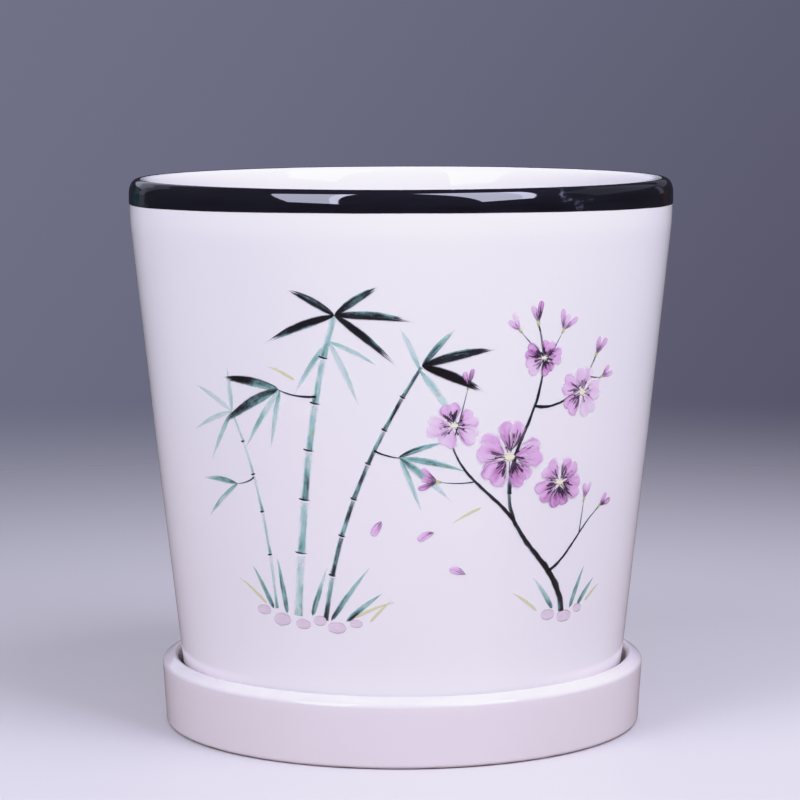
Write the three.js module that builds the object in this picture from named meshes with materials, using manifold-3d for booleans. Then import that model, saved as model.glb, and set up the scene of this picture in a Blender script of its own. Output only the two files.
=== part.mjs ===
// A glazed ceramic flowerpot with a dark band round its lip, standing in its saucer.
// Millimetres, +Z up. The origin is the middle of the saucer's foot, on the surface below it.
import * as THREE from 'three';
import { mergeVertices } from 'three/addons/utils/BufferGeometryUtils.js';
import Module from 'manifold-3d';

const wasm = await Module();
wasm.setup();

// Pot body
const lipRadius = 72;          // outside of the lip, the widest place
const potHeight = 139.2;       // foot to the crest of the lip
const wallBottomRadius = 57.85; // where the straight outer wall would meet the foot's plane
const wallThickness = 5.6;     // measured level
const floorThickness = 7;
const innerFloorRounding = 7;  // between the inner wall and the floor
const shoulderBlend = 3;       // softens the turn from the sloping wall to the upright lip

// Pot foot and drain
const footInset = 7;           // how far the foot's edge lies in from the wall's line
const bottomCurveHeight = 11;  // where the wall starts to curve in towards the foot
const bottomCurveKnee = 3.5;   // height of the curve's control point
const footRingWidth = 5;
const footRecess = 2;          // hollow under the floor, inside the foot ring
const footRecessRounding = 1.2;
const drainHoleRadius = 9;
const drainEdgeRounding = 1.5; // at both ends of the drain hole
const drainNotchCount = 3;     // let water out from under the foot ring
const drainNotchWidth = 8;
const drainNotchRoof = 0.4;    // recess height left above a notch

// Lip and the dark band on its outer half
const lipOuterRun = 3.1;       // from the outside of the lip in to its crest
const lipOuterDrop = 4.5;      // from the crest down to where the outside is upright
const lipInnerDrop = 8;        // from the crest down to where the inner wall is upright
const bandSkirt = 1.7;         // upright stretch of the band, below the lip's rounding
const lipBelowBand = 2.5;      // upright stretch of the wall, below the band
const bandThickness = 0.5;
const bandGap = 0.05;          // between the band and the seat cut for it in the lip

// Saucer
const saucerGap = 1.1;         // level, from the pot's wall to the saucer's inner wall
const saucerWall = 4.2;
const saucerRise = 12.15;      // floor to the crest of the rim
const saucerFloorThickness = 5;
const saucerRecess = 1;        // hollow under the floor, inside the foot ring
const saucerFootWidth = 6.5;
const saucerBaseRounding = 1.2;
const saucerFlare = 0.9;       // how much wider the outside is at the rim than at the base
const saucerRimOuterRun = 3;   // from the outside of the rim in to its crest
const saucerRimOuterDrop = 2.5;
const saucerRimInnerDrop = 1.3;
const saucerInnerRounding = 3; // between the inner wall and the floor

// Facets
const turnSteps = 60;          // round every turned piece
const curveSteps = 3;          // along a curve of a profile, and twice that along a quarter round
const mergeDistance = 1e-4;

// Heights and radii that follow from the sizes above, with the pot's foot at height 0
const shoulderHeight = potHeight - lipOuterDrop - bandSkirt - lipBelowBand;
const wallSlope = (lipRadius - wallBottomRadius) / shoulderHeight;
const bandBottom = potHeight - lipOuterDrop - bandSkirt;
const crestRadius = lipRadius - lipOuterRun;
const floorTop = footRecess + floorThickness;
const footRadius = wallBottomRadius - footInset;
const saucerFloorTop = saucerRecess + saucerFloorThickness;
const saucerHeight = saucerFloorTop + saucerRise;
const saucerInnerRadius = wallRadius(saucerRise) + saucerGap;
const saucerRadius = saucerInnerRadius + saucerWall;

// Outside radius of the straight wall at a height above the pot's foot.
function wallRadius(height) {
  return wallBottomRadius + wallSlope * height;
}

// A profile's points, radius and height, without the doubles where two stretches join.
function pointsOf(profile) {
  const points = profile.getPoints(curveSteps);
  return points.filter((point, i) => i === 0 || point.distanceTo(points[i - 1]) > mergeDistance);
}

// A quarter of an ellipse that continues a profile, between two angles in degrees.
function quarter(profile, radius, height, run, rise, from, to) {
  const radians = THREE.MathUtils.degToRad;
  profile.absellipse(radius, height, run, rise, radians(from), radians(to), from > to);
}

// A closed solid from a three.js geometry whose seams and poles only lie on each other.
function solidOf(geometry) {
  const bare = new THREE.BufferGeometry();
  bare.setAttribute('position', geometry.getAttribute('position'));
  bare.setIndex(geometry.getIndex());
  const merged = mergeVertices(bare, mergeDistance);
  const corners = Array.from(merged.getIndex().array);
  const triangles = [];
  for (let i = 0; i < corners.length; i += 3) {
    const [a, b, c] = corners.slice(i, i + 3);
    if (a !== b && b !== c && c !== a) triangles.push(a, b, c);
  }
  return new wasm.Manifold(new wasm.Mesh({
    numProp: 3,
    vertProperties: Float32Array.from(merged.getAttribute('position').array),
    triVerts: Uint32Array.from(triangles),
  }));
}

// The solid that a profile sweeps round the Z axis. The profile runs up on its outside.
function turned(profile) {
  const geometry = new THREE.LatheGeometry(pointsOf(profile), turnSteps);
  geometry.rotateX(Math.PI / 2);
  return solidOf(geometry);
}

function meshOf(solid, name, material) {
  const { vertProperties, triVerts } = solid.getMesh();
  const geometry = new THREE.BufferGeometry();
  geometry.setAttribute('position', new THREE.BufferAttribute(vertProperties, 3));
  geometry.setIndex(new THREE.BufferAttribute(triVerts, 1));
  geometry.computeVertexNormals();
  const mesh = new THREE.Mesh(geometry, material);
  mesh.name = name;
  return mesh;
}

function potProfile() {
  const seat = bandThickness + bandGap;
  const profile = new THREE.Path();

  // Foot edge, curved bottom, sloping wall and upright lip
  profile.moveTo(footRadius, 0);
  profile.quadraticCurveTo(
    wallRadius(bottomCurveKnee), bottomCurveKnee,
    wallRadius(bottomCurveHeight), bottomCurveHeight,
  );
  profile.lineTo(wallRadius(shoulderHeight - shoulderBlend), shoulderHeight - shoulderBlend);
  profile.quadraticCurveTo(lipRadius, shoulderHeight, lipRadius, bandBottom - bandGap);

  // Seat of the dark band, over the outer half of the lip
  profile.lineTo(lipRadius - seat, bandBottom - bandGap);
  profile.lineTo(lipRadius - seat, potHeight - lipOuterDrop);
  quarter(profile, crestRadius, potHeight - lipOuterDrop, lipOuterRun - seat, lipOuterDrop - seat, 0, 90);
  profile.lineTo(crestRadius - bandGap, potHeight - seat);
  profile.lineTo(crestRadius - bandGap, potHeight);

  // Inner half of the lip, inner wall and floor
  const innerRun = wallThickness - lipOuterRun - bandGap;
  quarter(profile, crestRadius - bandGap, potHeight - lipInnerDrop, innerRun, lipInnerDrop, 90, 180);
  profile.lineTo(lipRadius - wallThickness, shoulderHeight);
  const roundingTop = floorTop + innerFloorRounding;
  const floorCorner = wallRadius(floorTop) - wallThickness;
  profile.lineTo(wallRadius(roundingTop) - wallThickness, roundingTop);
  profile.quadraticCurveTo(floorCorner, floorTop, floorCorner - innerFloorRounding, floorTop);

  // Drain hole with rounded edges, hollow under the floor, and the foot ring
  const edge = drainEdgeRounding;
  profile.lineTo(drainHoleRadius + edge, floorTop);
  quarter(profile, drainHoleRadius + edge, floorTop - edge, edge, edge, 90, 180);
  profile.lineTo(drainHoleRadius, footRecess + edge);
  quarter(profile, drainHoleRadius + edge, footRecess + edge, edge, edge, 180, 270);
  const ringInside = footRadius - footRingWidth;
  profile.lineTo(ringInside - footRecessRounding, footRecess);
  profile.quadraticCurveTo(ringInside, footRecess, ringInside, footRecess - footRecessRounding);
  profile.lineTo(ringInside, 0);
  profile.lineTo(footRadius, 0);
  return profile;
}

// One low arch, cut through the foot ring from side to side and pointing along +X.
function drainNotch() {
  const overrun = footInset;
  const arch = new THREE.Shape();
  arch.absellipse(0, 0, drainNotchWidth / 2, footRecess - drainNotchRoof, 0, Math.PI * 2);
  const depth = footRingWidth + 2 * overrun;
  const geometry = new THREE.ExtrudeGeometry(arch, { depth, curveSegments: 6 * curveSteps, bevelEnabled: false });
  geometry.rotateX(Math.PI / 2);
  geometry.rotateZ(Math.PI / 2);
  geometry.translate(footRadius - footRingWidth - overrun, 0, 0);
  return solidOf(mergeVertices(geometry.deleteAttribute('normal').deleteAttribute('uv'), mergeDistance));
}

function pot() {
  let body = turned(potProfile());
  const notch = drainNotch();
  for (let i = 0; i < drainNotchCount; i += 1) {
    body = body.subtract(notch.rotate([0, 0, (360 / drainNotchCount) * i]));
  }
  const glaze = new THREE.MeshStandardMaterial({ color: 0xe9e6ef, roughness: 0.18, metalness: 0 });
  return meshOf(body, 'pot', glaze);
}

function rimBand() {
  const inner = bandThickness;
  const profile = new THREE.Path();
  profile.moveTo(lipRadius - inner, bandBottom);
  profile.lineTo(lipRadius, bandBottom);
  profile.lineTo(lipRadius, potHeight - lipOuterDrop);
  quarter(profile, crestRadius, potHeight - lipOuterDrop, lipOuterRun, lipOuterDrop, 0, 90);
  profile.lineTo(crestRadius, potHeight - inner);
  quarter(profile, crestRadius, potHeight - lipOuterDrop, lipOuterRun - inner, lipOuterDrop - inner, 90, 0);
  profile.lineTo(lipRadius - inner, bandBottom);
  const glaze = new THREE.MeshStandardMaterial({ color: 0x17181c, roughness: 0.1, metalness: 0 });
  return meshOf(turned(profile), 'rim_band', glaze);
}

function saucer() {
  const baseRadius = saucerRadius - saucerFlare;
  const footRingRadius = baseRadius - saucerBaseRounding;
  const rimCrest = saucerRadius - saucerRimOuterRun;
  const innerRun = saucerWall - saucerRimOuterRun;
  const profile = new THREE.Path();

  // Hollow underside, foot ring and outside
  profile.moveTo(0, saucerRecess);
  profile.lineTo(footRingRadius - saucerFootWidth - saucerRecess, saucerRecess);
  profile.lineTo(footRingRadius - saucerFootWidth, 0);
  profile.lineTo(footRingRadius, 0);
  profile.quadraticCurveTo(baseRadius, 0, baseRadius, saucerBaseRounding);
  profile.lineTo(saucerRadius, saucerHeight - saucerRimOuterDrop);

  // Rounded rim, inner wall and floor
  quarter(profile, rimCrest, saucerHeight - saucerRimOuterDrop, saucerRimOuterRun, saucerRimOuterDrop, 0, 90);
  quarter(profile, rimCrest, saucerHeight - saucerRimInnerDrop, innerRun, saucerRimInnerDrop, 90, 180);
  profile.lineTo(saucerInnerRadius, saucerFloorTop + saucerInnerRounding);
  const cornerRadius = saucerInnerRadius - saucerInnerRounding;
  const cornerHeight = saucerFloorTop + saucerInnerRounding;
  quarter(profile, cornerRadius, cornerHeight, saucerInnerRounding, saucerInnerRounding, 360, 270);
  profile.lineTo(0, saucerFloorTop);
  const glaze = new THREE.MeshStandardMaterial({ color: 0xe6dfe9, roughness: 0.18, metalness: 0 });
  return meshOf(turned(profile), 'saucer', glaze);
}

const flowerpot = new THREE.Group();
flowerpot.add(saucer());

const standing = new THREE.Group();
standing.position.z = saucerFloorTop;
standing.add(pot(), rimBand());
flowerpot.add(standing);

export default flowerpot;
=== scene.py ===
"""A glazed flowerpot with a painted front and a dark lip, standing in its saucer."""
import math
import random

import bmesh
import bpy
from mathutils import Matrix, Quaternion, Vector, noise


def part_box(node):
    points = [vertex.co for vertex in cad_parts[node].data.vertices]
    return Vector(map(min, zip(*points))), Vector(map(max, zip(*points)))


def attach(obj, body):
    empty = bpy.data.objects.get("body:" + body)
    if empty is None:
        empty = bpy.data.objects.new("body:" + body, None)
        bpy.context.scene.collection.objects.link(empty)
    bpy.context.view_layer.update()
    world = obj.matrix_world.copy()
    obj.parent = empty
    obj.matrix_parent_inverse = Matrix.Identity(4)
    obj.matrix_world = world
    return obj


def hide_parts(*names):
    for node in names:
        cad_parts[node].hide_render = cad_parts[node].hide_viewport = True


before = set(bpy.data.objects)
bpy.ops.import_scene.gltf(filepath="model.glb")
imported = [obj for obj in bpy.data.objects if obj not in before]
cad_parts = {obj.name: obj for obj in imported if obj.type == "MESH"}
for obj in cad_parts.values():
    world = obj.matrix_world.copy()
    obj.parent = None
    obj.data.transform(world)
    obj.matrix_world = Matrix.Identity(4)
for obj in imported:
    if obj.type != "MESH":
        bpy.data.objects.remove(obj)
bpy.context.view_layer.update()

MM = 0.001

# Facets
TURN_STEPS = 360                 # round every turned piece
WALL_ROWS = 44                   # up the outer wall
INNER_ROWS = 26                  # down the inner wall
LIP_ROWS = 20                    # over each half of the lip
BAND_ROWS = 22                   # over the outside of the dark band
BAND_BACK_ROWS = 14
MERGE_DISTANCE = 0.0005 * MM     # points of a turned piece that lie closer than this become one

# Where the frame puts the pieces
pot_low, pot_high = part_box("pot")
saucer_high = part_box("saucer")[1]
LIP_RADIUS = pot_high.x
FOOT_Z = pot_low.z
LIP_Z = pot_high.z
SAUCER_RADIUS = saucer_high.x
SAUCER_TOP = saucer_high.z

# Pot wall and lip
WALL_BOTTOM_RADIUS = 57.85 * MM  # where the sloping wall would meet the foot's plane
WALL_THICKNESS = 5.6 * MM
WALL_BELLY = 0.15 * MM           # the wall's middle stands this far out of a straight line
LIP_RUN = 3.1 * MM               # outside of the lip in to its crest
LIP_DROP = 4.5 * MM              # crest down to where the outside is upright
LIP_INNER_DROP = 8.0 * MM        # crest down to where the inner wall starts
LIP_FULLNESS = 2.5               # 2 is an ellipse; more makes the lip's corner squarer
LIP_SIDE_ROOM = 0.04 * MM        # kept free outside the band, for the glaze's swell
LIP_TOP_ROOM = 0.03 * MM         # and above it
INSIDE_FADE = 1.5 * MM           # crest in to where the painted shade of the inside is full
SHOULDER_DROP = 8.7 * MM         # crest down to where the sloping wall would reach the lip
SHOULDER_BLEND = 3.0 * MM

# Pot foot and drain
BOTTOM_CURVE_HEIGHT = 11.0 * MM
BOTTOM_CURVE_KNEE = 3.5 * MM
FOOT_INSET = 7.0 * MM
FOOT_EDGE = 0.7 * MM             # rounding of both edges of the foot rings
FOOT_EDGE_FLARE = 0.42 * MM      # how far out the pot's outer edge turns into its bottom curve
FOOT_RING_WIDTH = 5.0 * MM
FOOT_RECESS = 2.0 * MM
RECESS_ROUNDING = 1.2 * MM
FLOOR_THICKNESS = 7.0 * MM
FLOOR_ROUNDING = 7.0 * MM
DRAIN_RADIUS = 9.0 * MM
DRAIN_ROUNDING = 1.5 * MM
NOTCH_COUNT = 3
NOTCH_WIDTH = 8.0 * MM
NOTCH_RISE = 1.6 * MM
NOTCH_FULLNESS = 4               # 2 is a round arch; more makes its roof flatter

# White glaze near the pot's foot: bare clay under it, partly painted shade, and painted light thrown up
# from the saucer's rim
BARE_CLAY_AND_SHADE_TOP = 8.5 * MM             # foot up to where the glaze starts; the bare clay reaches this high so that it darkens the gap inside the saucer's rim as painted shade
BOUNCE_LIGHT_TOP = 14.8 * MM          # foot up to where the painted light thrown up from the saucer's rim ends
BOUNCE_LIGHT_FADE = 1.4 * MM
BOUNCE_LIGHT_SIDES = (32.0 * MM, 50.0 * MM)  # how far off the middle that starts, and is full

# Band of dark glaze over the outer half of the lip
BAND_PROUD = 0.12 * MM           # the dark glaze stands this far out of the white glaze
BAND_SUNK = 0.06 * MM            # its back lies this far under the white surface
BAND_LOW_Z = LIP_Z - 6.2 * MM
BAND_SWAY = 0.53 * MM            # the brush line is higher in front and behind than at the sides
BAND_LEAN = 0.12 * MM            # and a little higher on the left than on the right
BAND_WANDER = 0.05 * MM          # and it wanders this much, as a line drawn by hand does
BAND_WANDER_PITCH = 75.0
BAND_BEAD = 0.45 * MM            # lower edge up to where the dark glaze is full
BAND_BEAD_KNEE = 0.02 * MM       # how far inside the full glaze the knee of that rise lies
BAND_BACK_RISE = 0.1 * MM        # lower edge up to where its back starts
BAND_TOP_ANGLE = 90.0            # where on the lip's outer rounding the band ends, in degrees
BAND_TOP_TAPER = 4.0             # it starts to thin out this far before that angle
BAND_BACK_TAPER = 1.0            # and its back ends this far before it
THIN_CORE = 0.4                  # share of a thin or scuffed place's reach that is at full strength
# green of thin glaze, and of a painted reflection at the band's left end
GREEN_THIN_AND_REFLECTED = (0.0015, 0.026, 0.024, 1.0)
THIN_BROWN = (0.026, 0.0070, 0.0080, 1.0)
THIN_GLAZE_AND_REFLECTION = (                   # where the dark glaze runs thin, how far round that, and what it shows; the first place, at the band's left end in front, is a painted green reflection
    (Vector((-68.3, -22.2, 140.6)) * MM, 5.0 * MM, GREEN_THIN_AND_REFLECTED),
    (Vector((-34.0, 63.0, 141.0)) * MM, 12.0 * MM, GREEN_THIN_AND_REFLECTED),
    (Vector((66.0, 28.0, 141.0)) * MM, 9.0 * MM, GREEN_THIN_AND_REFLECTED),
    (Vector((68.2, -23.0, 141.0)) * MM, 3.0 * MM, THIN_BROWN),
)
SCUFFS = (                       # where the dark glaze is scuffed, and how far round that
    (Vector((40.6, -59.0, 143.0)) * MM, 3.0 * MM),
    (Vector((44.0, -56.9, 140.8)) * MM, 2.6 * MM),
    (Vector((47.4, -54.2, 140.5)) * MM, 3.2 * MM),
    (Vector((-52.0, 49.5, 141.0)) * MM, 5.0 * MM),
    (Vector((20.0, 69.0, 140.5)) * MM, 4.0 * MM),
)

# Saucer
SAUCER_WALL = 4.2 * MM
SAUCER_FLARE = 0.9 * MM
SAUCER_BASE_ROUNDING = 1.2 * MM
SAUCER_FOOT_WIDTH = 6.5 * MM
SAUCER_RECESS = 1.0 * MM         # hollow under the floor, inside the foot ring
SAUCER_RECESS_KNEE = 0.6 * MM    # height of the turn from that hollow into the foot ring
SAUCER_RIM_RUN = 3.1 * MM        # outside of the rim in to its crest
SAUCER_DOME_DROP = 1.3 * MM      # crest down to the start of the outer corner
SAUCER_DOME_SLOPE = 0.73         # how steep the dome is there
SAUCER_CORNER_RUN = 0.55 * MM    # width of the tight outer corner
SAUCER_CORNER_END = 2.4 * MM     # crest down to the corner's end
SAUCER_RIM_INNER_DROP = 1.3 * MM
SAUCER_INNER_ROUNDING = 3.0 * MM
SAUCER_BARE_FOOT = 0.35 * MM     # table up to where its glaze starts
SAUCER_RIM_SHADE_TOP = (2.6 * MM, 1.5 * MM)  # crest down to where the painted shade on the rim's top starts, and is full
SAUCER_RIM_SHADE_SIDES = (22.0 * MM, 55.0 * MM)  # between these, off the middle, the painted shade weakens again

# Uneven thickness of the glaze, which swells the surface in and out
SWELL_HEIGHT = 0.05 * MM
SWELL_PITCH = 34.0
RIPPLE_HEIGHT = 0.012 * MM
RIPPLE_PITCH = 110.0
RIPPLE_SHIFT = Vector((0.3, 0.0, 0.0))
SWELL_FOOT = 4.0 * MM            # foot up to where it starts, and from there up to where it is full
SWELL_LIP = 9.0 * MM             # crest of the lip down to where it is full
SWELL_LEAST = 0.3                # share of it that is left at the crest
SWELL_SAUCER = (1.5 * MM, 3.0 * MM)  # the same two heights on the saucer

SHOULDER_Z = LIP_Z - SHOULDER_DROP
BODY_LIP = LIP_RADIUS - BAND_PROUD - LIP_SIDE_ROOM
BODY_TOP = LIP_Z - BAND_PROUD - LIP_TOP_ROOM
SLOPE = (LIP_RADIUS - WALL_BOTTOM_RADIUS) / (SHOULDER_Z - FOOT_Z)


def wall_radius(z):
    """Outside radius of the sloping wall at a height, with its slight belly."""
    share = min(1.0, max(0.0, (z - FOOT_Z) / (SHOULDER_Z - FOOT_Z)))
    return WALL_BOTTOM_RADIUS + SLOPE * (z - FOOT_Z) + WALL_BELLY * math.sin(math.pi * share)


def arc(radius, z, run, rise, start, end, steps, fullness=2.0):
    """Points of a stretch of an ellipse, or a fuller oval, between two angles in degrees."""
    points = []
    for i in range(steps + 1):
        angle = math.radians(start + (end - start) * i / steps)
        across, up = (math.copysign(abs(share) ** (2 / fullness), share)
                      for share in (math.cos(angle), math.sin(angle)))
        points.append((radius + run * across, z + rise * up))
    return points


def bend(a, knee, b, steps):
    """Points of a soft turn from a to b that leaves and arrives along the lines through knee."""
    points = []
    for i in range(steps + 1):
        t = i / steps
        points.append(tuple(
            (1 - t) ** 2 * p + 2 * t * (1 - t) * k + t ** 2 * q for p, k, q in zip(a, knee, b)))
    return points


def line(a, b, steps):
    """Points of a straight stretch without its two ends."""
    return [tuple(p + (q - p) * i / steps for p, q in zip(a, b)) for i in range(1, steps)]


def wall_line(low, high, inset, steps):
    """Points of the wall's line between two heights, level inset from the outside."""
    heights = [low + (high - low) * i / steps for i in range(steps + 1)]
    return [(wall_radius(z) - inset, z) for z in heights]


def glaze_swell(co):
    """How far the glazed surface stands out of the true turned shape, in metres."""
    slow = noise.noise(co * SWELL_PITCH)
    fine = noise.noise((co + RIPPLE_SHIFT) * RIPPLE_PITCH)
    return SWELL_HEIGHT * slow + RIPPLE_HEIGHT * fine


def piece_of(bm, name, material):
    """A smooth object at the origin from a finished bmesh."""
    mesh = bpy.data.meshes.new(name)
    bm.to_mesh(mesh)
    bm.free()
    for polygon in mesh.polygons:
        polygon.use_smooth = True
    piece = bpy.data.objects.new(name, mesh)
    bpy.context.scene.collection.objects.link(piece)
    mesh.materials.append(material)
    return piece


def turned(profile, closed, hold):
    """A closed skin that a profile of radius and height sweeps round the Z axis, with its swell.

    The profile is a closed line, or else its two ends lie on the axis.
    """
    bm = bmesh.new()
    verts = [bm.verts.new((r, 0.0, z)) for r, z in profile]
    pairs = list(zip(verts, verts[1:]))
    if closed:
        pairs.append((verts[-1], verts[0]))
    edges = [bm.edges.new(pair) for pair in pairs]
    bmesh.ops.spin(
        bm, geom=verts + edges, axis=(0, 0, 1), cent=(0, 0, 0), angle=2 * math.pi,
        steps=TURN_STEPS, use_merge=True)
    bmesh.ops.remove_doubles(bm, verts=bm.verts, dist=MERGE_DISTANCE)
    bmesh.ops.recalc_face_normals(bm, faces=bm.faces)
    bm.normal_update()
    moves = [v.normal * glaze_swell(v.co) * hold(v.co) for v in bm.verts]
    for v, move in zip(bm.verts, moves):
        v.co += move
    return bm


def pot_profile():
    """The pot's section, up the outside, over the lip and down inside to the drain hole."""
    crest = LIP_RADIUS - LIP_RUN
    curve_top = FOOT_Z + BOTTOM_CURVE_HEIGHT
    knee = FOOT_Z + BOTTOM_CURVE_KNEE
    foot = WALL_BOTTOM_RADIUS - FOOT_INSET
    ring_inside = foot - FOOT_RING_WIDTH
    recess = FOOT_Z + FOOT_RECESS
    floor = recess + FLOOR_THICKNESS
    inner_lip = LIP_RADIUS - WALL_THICKNESS
    rounding_top = floor + FLOOR_ROUNDING
    corner = wall_radius(floor) - WALL_THICKNESS
    drain = DRAIN_RADIUS + DRAIN_ROUNDING
    blend_low = SHOULDER_Z - SHOULDER_BLEND
    lip_low = LIP_Z - LIP_DROP
    inner_low = LIP_Z - LIP_INNER_DROP
    inner_run = crest - inner_lip

    edge = (foot + FOOT_EDGE_FLARE, FOOT_Z + FOOT_EDGE)
    points = bend((foot - FOOT_EDGE, FOOT_Z), (foot, FOOT_Z), edge, 4)
    points += bend(edge, (wall_radius(knee), knee), (wall_radius(curve_top), curve_top), 10)[1:]
    points += wall_line(curve_top, blend_low, 0.0, WALL_ROWS)[1:]
    points += bend(points[-1], (BODY_LIP, SHOULDER_Z), (BODY_LIP, SHOULDER_Z + SHOULDER_BLEND), 6)[1:]
    points += arc(crest, lip_low, BODY_LIP - crest, BODY_TOP - lip_low, 0, 90, LIP_ROWS, LIP_FULLNESS)
    points += arc(crest, inner_low, inner_run, BODY_TOP - inner_low, 90, 180, LIP_ROWS, LIP_FULLNESS)[1:]
    points += reversed(wall_line(rounding_top, inner_low, WALL_THICKNESS, INNER_ROWS)[:-2])
    points += bend(points[-1], (corner, floor), (corner - FLOOR_ROUNDING, floor), 8)[1:]
    points += line(points[-1], (drain, floor), 6)
    points += arc(drain, floor - DRAIN_ROUNDING, DRAIN_ROUNDING, DRAIN_ROUNDING, 90, 180, 6)
    points += arc(drain, recess + DRAIN_ROUNDING, DRAIN_ROUNDING, DRAIN_ROUNDING, 180, 270, 6)
    points += line((drain, recess), (ring_inside - RECESS_ROUNDING, recess), 6)
    side = (ring_inside, FOOT_Z + FOOT_EDGE)
    points += bend((ring_inside - RECESS_ROUNDING, recess), (ring_inside, recess), side, 5)
    points += bend(side, (ring_inside, FOOT_Z), (ring_inside + FOOT_EDGE, FOOT_Z), 4)[1:]
    points += line(points[-1], points[0], 5)
    return points


def band_profile():
    """The dark glaze's section: a thin lens over the lip, with its back just under the white."""
    crest = LIP_RADIUS - LIP_RUN
    low = LIP_Z - LIP_DROP
    outer = LIP_RADIUS - LIP_SIDE_ROOM
    top = LIP_Z - LIP_TOP_ROOM
    back = BODY_LIP - BAND_SUNK
    back_top = BODY_TOP - BAND_SUNK
    start = (BODY_LIP, BAND_LOW_Z)
    points = bend(start, (outer - BAND_BEAD_KNEE, BAND_LOW_Z), (outer, BAND_LOW_Z + BAND_BEAD), 7)
    points += line(points[-1], (outer, low), 3)
    end = BAND_TOP_ANGLE
    taper = end - BAND_TOP_TAPER
    points += arc(crest, low, outer - crest, top - low, 0, taper, BAND_ROWS, LIP_FULLNESS)
    points += arc(crest, low, BODY_LIP - crest, BODY_TOP - low, end, end, 1, LIP_FULLNESS)[:1]
    points += arc(crest, low, back - crest, back_top - low, end - BAND_BACK_TAPER, 0,
                  BAND_BACK_ROWS, LIP_FULLNESS)
    return points + [(back, BAND_LOW_Z + BAND_BACK_RISE)]


def saucer_profile():
    """The saucer's section, from the middle of its underside to the middle of its floor."""
    base = SAUCER_RADIUS - SAUCER_FLARE
    foot = base - SAUCER_BASE_ROUNDING
    ring_inside = foot - SAUCER_FOOT_WIDTH
    crest = SAUCER_RADIUS - SAUCER_RIM_RUN
    inner = SAUCER_RADIUS - SAUCER_WALL
    floor = FOOT_Z
    corner = inner - SAUCER_INNER_ROUNDING
    corner_z = floor + SAUCER_INNER_ROUNDING
    side_top = (SAUCER_RADIUS, SAUCER_TOP - SAUCER_CORNER_END)
    dome_end = (SAUCER_RADIUS - SAUCER_CORNER_RUN, SAUCER_TOP - SAUCER_DOME_DROP)
    dome_knee = (dome_end[0] - SAUCER_DOME_DROP / SAUCER_DOME_SLOPE, SAUCER_TOP)
    corner_knee = (SAUCER_RADIUS, dome_end[1] - SAUCER_CORNER_RUN * SAUCER_DOME_SLOPE)
    recess_end = (ring_inside - SAUCER_RECESS, SAUCER_RECESS)

    points = [(0.0, SAUCER_RECESS)] + line((0.0, SAUCER_RECESS), recess_end, 10)
    points += bend(recess_end, (ring_inside, SAUCER_RECESS_KNEE), (ring_inside + FOOT_EDGE, 0.0), 5)
    points += line(points[-1], (foot, 0.0), 6)
    points += bend((foot, 0.0), (base, 0.0), (base, SAUCER_BASE_ROUNDING), 8)
    points += line(points[-1], side_top, 10)
    points += bend(side_top, corner_knee, dome_end, 9)
    points += bend(dome_end, dome_knee, (crest, SAUCER_TOP), 9)[1:]
    points += arc(crest, SAUCER_TOP - SAUCER_RIM_INNER_DROP, SAUCER_WALL - SAUCER_RIM_RUN,
                  SAUCER_RIM_INNER_DROP, 90, 180, 9)[1:]
    points += line(points[-1], (inner, corner_z), 5)
    points += arc(corner, corner_z, SAUCER_INNER_ROUNDING, SAUCER_INNER_ROUNDING, 360, 270, 8)
    points += line(points[-1], (0.0, floor), 12) + [(0.0, floor)]
    return points


def hold_pot(co):
    """How much of the swell the pot's surface has: none at its foot, little at its lip."""
    foot_share = max(0.0, (co.z - FOOT_Z - SWELL_FOOT) / SWELL_FOOT)
    lip_share = max(SWELL_LEAST, (LIP_Z - co.z) / SWELL_LIP)
    return min(1.0, foot_share, lip_share)


def hold_saucer(co):
    """The saucer's swell: none where it stands and where the pot stands on it."""
    if math.hypot(co.x, co.y) < SAUCER_RADIUS - SAUCER_WALL - SAUCER_INNER_ROUNDING:
        return 0.0
    start, reach = SWELL_SAUCER
    return min(1.0, max(0.0, (co.z - start) / reach))


def cut_drain_notches(bm):
    """Low arches under the foot ring, where the ring's lowest points are pushed up."""
    inside = WALL_BOTTOM_RADIUS - FOOT_INSET - FOOT_RING_WIDTH - RECESS_ROUNDING
    for v in bm.verts:
        radius = math.hypot(v.co.x, v.co.y)
        if v.co.z > FOOT_Z + FOOT_RECESS or radius < inside:
            continue
        turn = math.atan2(v.co.y, v.co.x) / (2 * math.pi / NOTCH_COUNT)
        across = (turn - round(turn)) * (2 * math.pi / NOTCH_COUNT) * radius / (NOTCH_WIDTH / 2)
        if abs(across) < 1.0:
            v.co.z = max(v.co.z, FOOT_Z + NOTCH_RISE * (1 - across ** NOTCH_FULLNESS))


def set_inside(bm):
    """Notes what of the pot lies inside, from the crest of the lip inwards."""
    inside = bm.verts.layers.float.new("inside")
    for v in bm.verts:
        middle = min(LIP_RADIUS, wall_radius(v.co.z)) - LIP_RUN
        v[inside] = min(1.0, max(0.0, (middle - math.hypot(v.co.x, v.co.y)) / INSIDE_FADE))


def set_brush_line(bm):
    """Lets the band's lower edge wander as a line banded by hand, and notes the way up from it."""
    edge = bm.verts.layers.float.new("edge_mm")
    fade_top = LIP_Z - LIP_DROP
    for v in bm.verts:
        v[edge] = (v.co.z - BAND_LOW_Z) / MM
        side = v.co.x / LIP_RADIUS
        front = -v.co.y / LIP_RADIUS
        sway = BAND_SWAY * (front ** 2 - side ** 2) - BAND_LEAN * side
        sway += BAND_WANDER * noise.noise(v.co * BAND_WANDER_PITCH)
        share = min(1.0, max(0.0, (fade_top - v.co.z) / (fade_top - BAND_LOW_Z)))
        v.co.z += sway * share


# Nodes
def add(tree, kind, inputs=None, **settings):
    """A new node with its settings, and with values or links on its inputs."""
    item = tree.nodes.new(kind)
    for key, value in settings.items():
        setattr(item, key, value)
    for key, value in (inputs or {}).items():
        if isinstance(value, bpy.types.NodeSocket):
            tree.links.new(value, item.inputs[key])
        else:
            item.inputs[key].default_value = value
    return item


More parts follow.
